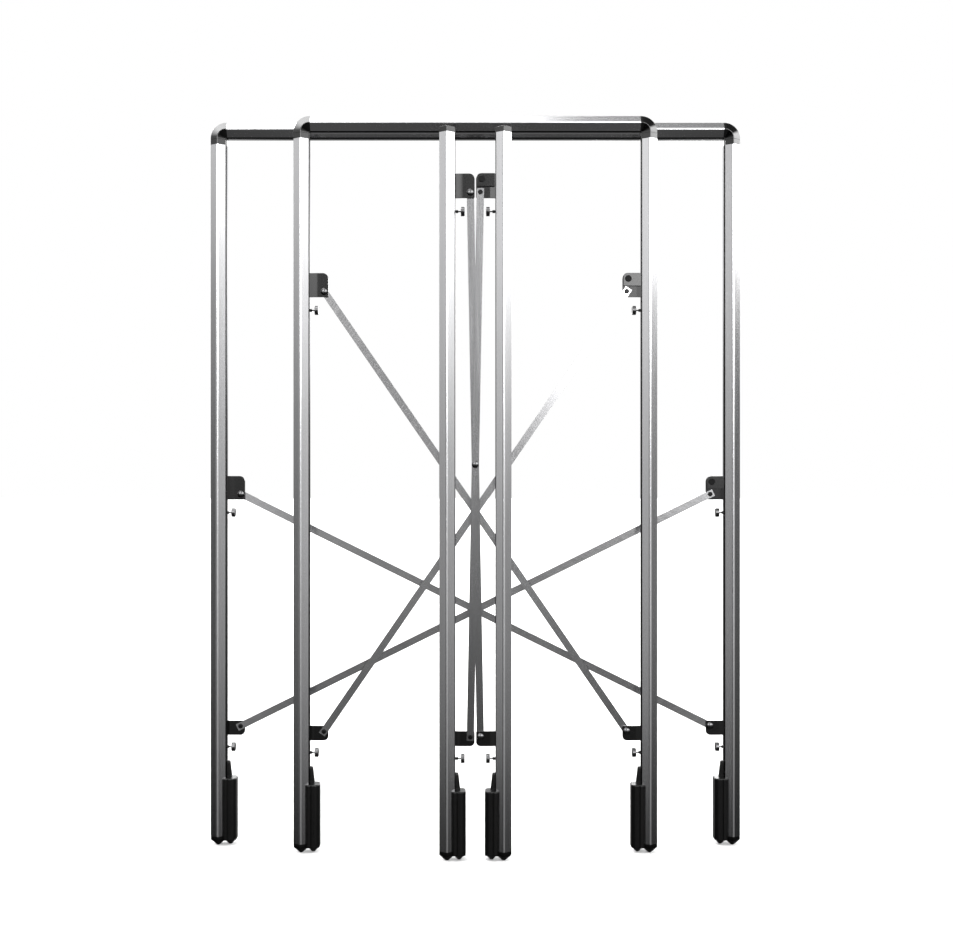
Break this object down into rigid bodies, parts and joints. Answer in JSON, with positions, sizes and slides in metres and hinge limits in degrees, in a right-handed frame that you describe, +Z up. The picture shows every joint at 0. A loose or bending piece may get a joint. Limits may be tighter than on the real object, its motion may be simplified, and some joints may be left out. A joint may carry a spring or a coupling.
{
  "type": "folding stretcher frame",
  "caption": "Nested upright folding frames of slotted aluminium with scissor cross bars, sliding brackets, thumb screws, rounded top corners and pointed boots, each opened a different amount.",
  "frame": {"origin": "on the floor plane, at the middle of the whole nest's width and depth", "axes": "+X to the viewer's right along the rails, +Y to the back, +Z up"},
  "size_m": [1.433, 0.194, 1.955],
  "materials": {
    "aluminium": "satin anodised",
    "bar": "satin",
    "bracket": "satin black",
    "corner": "semi-gloss black",
    "boot": "matt black",
    "chrome": "polished"
  },
  "bodies": {
    "root": {"back_left_post": "aluminium", "back_left_collar": "corner", "back_left_boot": "boot", "back_left_lower_bracket": "bracket", "back_rail": "aluminium", "back_left_elbow": "corner", "back_right_elbow": "corner", "middle_left_post": "aluminium", "middle_left_collar": "corner", "middle_left_boot": "boot", "middle_left_lower_bracket": "bracket", "middle_rail": "aluminium", "middle_left_elbow": "corner", "middle_right_elbow": "corner", "front_left_post": "aluminium", "front_left_collar": "corner", "front_left_boot": "boot", "front_left_lower_bracket": "bracket", "left_rail_tie": "bracket", "right_rail_tie": "bracket", "front_hanger": "bracket"},
    "back_front_bar_body": {"back_front_bar": "bar", "back_centre_rivet": "chrome"},
    "back_rear_bar_body": {"back_rear_bar": "bar"},
    "back_right_post_body": {"back_right_post": "aluminium", "back_right_collar": "corner", "back_right_boot": "boot", "back_right_lower_bracket": "bracket"},
    "back_left_slider": {"back_left_upper_bracket": "bracket"},
    "back_right_slider": {"back_right_upper_bracket": "bracket"},
    "back_left_lower_knob": {"back_left_lower_screw": "chrome"},
    "back_right_lower_knob": {"back_right_lower_screw": "chrome"},
    "back_left_upper_knob": {"back_left_upper_screw": "chrome"},
    "back_right_upper_knob": {"back_right_upper_screw": "chrome"},
    "middle_front_bar_body": {"middle_front_bar": "bar", "middle_centre_rivet": "chrome"},
    "middle_rear_bar_body": {"middle_rear_bar": "bar"},
    "middle_right_post_body": {"middle_right_post": "aluminium", "middle_right_collar": "corner", "middle_right_boot": "boot", "middle_right_lower_bracket": "bracket"},
    "middle_left_slider": {"middle_left_upper_bracket": "bracket"},
    "middle_right_slider": {"middle_right_upper_bracket": "bracket"},
    "middle_left_lower_knob": {"middle_left_lower_screw": "chrome"},
    "middle_right_lower_knob": {"middle_right_lower_screw": "chrome"},
    "middle_left_upper_knob": {"middle_left_upper_screw": "chrome"},
    "middle_right_upper_knob": {"middle_right_upper_screw": "chrome"},
    "front_front_bar_body": {"front_front_bar": "bar", "front_centre_rivet": "chrome"},
    "front_rear_bar_body": {"front_rear_bar": "bar"},
    "front_right_post_body": {"front_right_post": "aluminium", "front_right_collar": "corner", "front_right_boot": "boot", "front_right_lower_bracket": "bracket"},
    "front_left_slider": {"front_left_upper_bracket": "bracket"},
    "front_right_slider": {"front_right_upper_bracket": "bracket"},
    "front_left_lower_knob": {"front_left_lower_screw": "chrome"},
    "front_right_lower_knob": {"front_right_lower_screw": "chrome"},
    "front_left_upper_knob": {"front_left_upper_screw": "chrome"},
    "front_right_upper_knob": {"front_right_upper_screw": "chrome"}
  },
  "joints": [
    {"name": "back_fold", "type": "hinge", "parent": "root", "child": "back_front_bar_body", "pos_m": [-0.6355, 0.059, 0.322], "axis": [0, -1, 0], "range_deg": [0, 62.5]},
    {"name": "back_crossing", "type": "hinge", "parent": "back_front_bar_body", "child": "back_rear_bar_body", "pos_m": [0, 0.059, 0.63579], "axis": [0, -1, 0], "range_deg": [-125, 0]},
    {"name": "back_right_post_hinge", "type": "hinge", "parent": "back_rear_bar_body", "child": "back_right_post_body", "pos_m": [0.6355, 0.059, 0.322], "axis": [0, -1, 0], "range_deg": [0, 62.5]},
    {"name": "back_left_slider_hinge", "type": "hinge", "parent": "back_rear_bar_body", "child": "back_left_slider", "pos_m": [-0.6355, 0.059, 0.94959], "axis": [0, -1, 0], "range_deg": [0, 62.5]},
    {"name": "back_right_slider_hinge", "type": "hinge", "parent": "back_front_bar_body", "child": "back_right_slider", "pos_m": [0.6355, 0.059, 0.94959], "axis": [0, -1, 0], "range_deg": [-62.5, 0]},
    {"name": "back_left_lower_screw_turn", "type": "hinge", "parent": "root", "child": "back_left_lower_knob", "pos_m": [-0.6745, 0.0646, 0.265], "axis": [1, 0, 0], "range_deg": [0, 180]},
    {"name": "back_right_lower_screw_turn", "type": "hinge", "parent": "back_right_post_body", "child": "back_right_lower_knob", "pos_m": [0.6745, 0.0646, 0.265], "axis": [-1, 0, 0], "range_deg": [0, 180]},
    {"name": "back_left_upper_screw_turn", "type": "hinge", "parent": "back_left_slider", "child": "back_left_upper_knob", "pos_m": [-0.6745, 0.0646, 0.89959], "axis": [1, 0, 0], "range_deg": [0, 180]},
    {"name": "back_right_upper_screw_turn", "type": "hinge", "parent": "back_right_slider", "child": "back_right_upper_knob", "pos_m": [0.6745, 0.0646, 0.89959], "axis": [-1, 0, 0], "range_deg": [0, 180]},
    {"name": "middle_fold", "type": "hinge", "parent": "root", "child": "middle_front_bar_body", "pos_m": [-0.4018, -0.0115, 0.322], "axis": [0, -1, 0], "range_deg": [0, 33.5]},
    {"name": "middle_crossing", "type": "hinge", "parent": "middle_front_bar_body", "child": "middle_rear_bar_body", "pos_m": [0, -0.0115, 0.90585], "axis": [0, -1, 0], "range_deg": [-67, 0]},
    {"name": "middle_right_post_hinge", "type": "hinge", "parent": "middle_rear_bar_body", "child": "middle_right_post_body", "pos_m": [0.4018, -0.0115, 0.322], "axis": [0, -1, 0], "range_deg": [0, 33.5]},
    {"name": "middle_left_slider_hinge", "type": "hinge", "parent": "middle_rear_bar_body", "child": "middle_left_slider", "pos_m": [-0.4018, -0.0115, 1.4897], "axis": [0, -1, 0], "range_deg": [0, 33.5]},
    {"name": "middle_right_slider_hinge", "type": "hinge", "parent": "middle_front_bar_body", "child": "middle_right_slider", "pos_m": [0.4018, -0.0115, 1.4897], "axis": [0, -1, 0], "range_deg": [-33.5, 0]},
    {"name": "middle_left_lower_screw_turn", "type": "hinge", "parent": "root", "child": "middle_left_lower_knob", "pos_m": [-0.4408, -0.0059, 0.265], "axis": [1, 0, 0], "range_deg": [0, 180]},
    {"name": "middle_right_lower_screw_turn", "type": "hinge", "parent": "middle_right_post_body", "child": "middle_right_lower_knob", "pos_m": [0.4408, -0.0059, 0.265], "axis": [-1, 0, 0], "range_deg": [0, 180]},
    {"name": "middle_left_upper_screw_turn", "type": "hinge", "parent": "middle_left_slider", "child": "middle_left_upper_knob", "pos_m": [-0.4408, -0.0059, 1.4397], "axis": [1, 0, 0], "range_deg": [0, 180]},
    {"name": "middle_right_upper_screw_turn", "type": "hinge", "parent": "middle_right_slider", "child": "middle_right_upper_knob", "pos_m": [0.4408, -0.0059, 1.4397], "axis": [-1, 0, 0], "range_deg": [0, 180]},
    {"name": "front_fold", "type": "hinge", "parent": "root", "child": "front_front_bar_body", "pos_m": [-0.013, -0.082, 0.322], "axis": [0, -1, 0], "range_deg": [-62.5, 0]},
    {"name": "front_crossing", "type": "hinge", "parent": "front_front_bar_body", "child": "front_rear_bar_body", "pos_m": [0, -0.082, 1.03063], "axis": [0, -1, 0], "range_deg": [0, 125]},
    {"name": "front_right_post_hinge", "type": "hinge", "parent": "front_rear_bar_body", "child": "front_right_post_body", "pos_m": [0.013, -0.082, 0.322], "axis": [0, -1, 0], "range_deg": [-62.5, 0]},
    {"name": "front_left_slider_hinge", "type": "hinge", "parent": "front_rear_bar_body", "child": "front_left_slider", "pos_m": [-0.013, -0.082, 1.73926], "axis": [0, -1, 0], "range_deg": [-62.5, 0]},
    {"name": "front_right_slider_hinge", "type": "hinge", "parent": "front_front_bar_body", "child": "front_right_slider", "pos_m": [0.013, -0.082, 1.73926], "axis": [0, -1, 0], "range_deg": [0, 62.5]},
    {"name": "front_left_lower_screw_turn", "type": "hinge", "parent": "root", "child": "front_left_lower_knob", "pos_m": [-0.052, -0.0764, 0.265], "axis": [1, 0, 0], "range_deg": [0, 180]},
    {"name": "front_right_lower_screw_turn", "type": "hinge", "parent": "front_right_post_body", "child": "front_right_lower_knob", "pos_m": [0.052, -0.0764, 0.265], "axis": [-1, 0, 0], "range_deg": [0, 180]},
    {"name": "front_left_upper_screw_turn", "type": "hinge", "parent": "front_left_slider", "child": "front_left_upper_knob", "pos_m": [-0.052, -0.0764, 1.68926], "axis": [1, 0, 0], "range_deg": [0, 180]},
    {"name": "front_right_upper_screw_turn", "type": "hinge", "parent": "front_right_slider", "child": "front_right_upper_knob", "pos_m": [0.052, -0.0764, 1.68926], "axis": [-1, 0, 0], "range_deg": [0, 180]}
  ],
  "couplings": [
    {"joint": "back_crossing", "follows": "back_fold", "ratio": -2},
    {"joint": "back_right_post_hinge", "follows": "back_fold", "ratio": 1},
    {"joint": "back_left_slider_hinge", "follows": "back_fold", "ratio": 1},
    {"joint": "back_right_slider_hinge", "follows": "back_fold", "ratio": -1},
    {"joint": "middle_crossing", "follows": "middle_fold", "ratio": -2},
    {"joint": "middle_right_post_hinge", "follows": "middle_fold", "ratio": 1},
    {"joint": "middle_left_slider_hinge", "follows": "middle_fold", "ratio": 1},
    {"joint": "middle_right_slider_hinge", "follows": "middle_fold", "ratio": -1},
    {"joint": "front_crossing", "follows": "front_fold", "ratio": -2},
    {"joint": "front_right_post_hinge", "follows": "front_fold", "ratio": 1},
    {"joint": "front_left_slider_hinge", "follows": "front_fold", "ratio": 1},
    {"joint": "front_right_slider_hinge", "follows": "front_fold", "ratio": -1}
  ]
}
